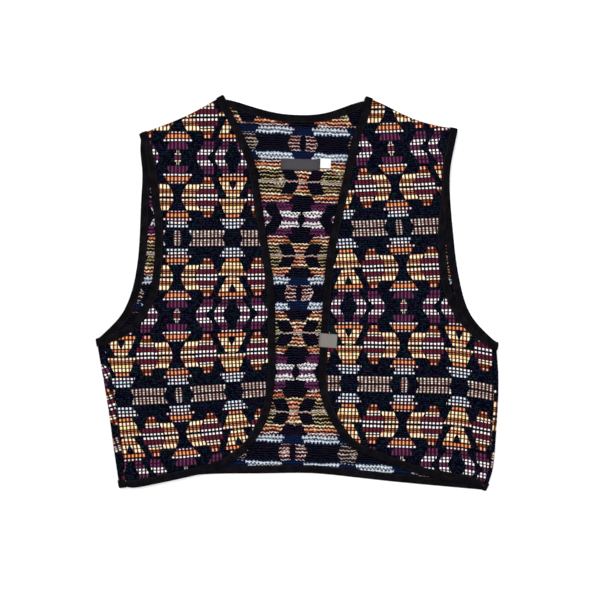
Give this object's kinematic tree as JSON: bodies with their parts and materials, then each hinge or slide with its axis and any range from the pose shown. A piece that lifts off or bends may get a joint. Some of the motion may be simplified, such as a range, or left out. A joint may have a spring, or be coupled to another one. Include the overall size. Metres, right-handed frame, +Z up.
{
  "type": "vest",
  "caption": "Cropped open-front sleeveless vest of heavy patterned jacquard with black bound edges and rounded front corners, laid flat.",
  "frame": {"origin": "centre of the laid garment's outline, on the surface that it lies on", "axes": "+Z up out of the surface, +Y towards the neck, +X towards the wearer's left side, fronts on top"},
  "size_m": [0.4836, 0.4748, 0.0096],
  "materials": {
    "jacquard_back": "matt, ribbed, woven with a geometric repeat",
    "jacquard_front_right": "matt, ribbed, woven with a geometric repeat",
    "jacquard_front_left": "matt, ribbed, woven with a geometric repeat",
    "binding_neck": "soft black twill tape",
    "binding_hem": "soft black twill tape",
    "binding_front_right": "soft black twill tape",
    "binding_front_left": "soft black twill tape",
    "binding_armhole_right": "soft black twill tape",
    "binding_armhole_left": "soft black twill tape",
    "label_grey": "woven satin",
    "label_white": "woven satin",
    "tab_grey": "woven satin"
  },
  "bodies": {
    "root": {"back": "jacquard_back", "front_right": "jacquard_front_right", "front_left": "jacquard_front_left", "neck_binding": "binding_neck", "hem_binding": "binding_hem", "front_binding_right": "binding_front_right", "front_binding_left": "binding_front_left", "armhole_binding_right": "binding_armhole_right", "armhole_binding_left": "binding_armhole_left", "neck_label": "label_grey", "size_label": "label_white", "edge_tab": "tab_grey"}
  },
  "joints": []
}
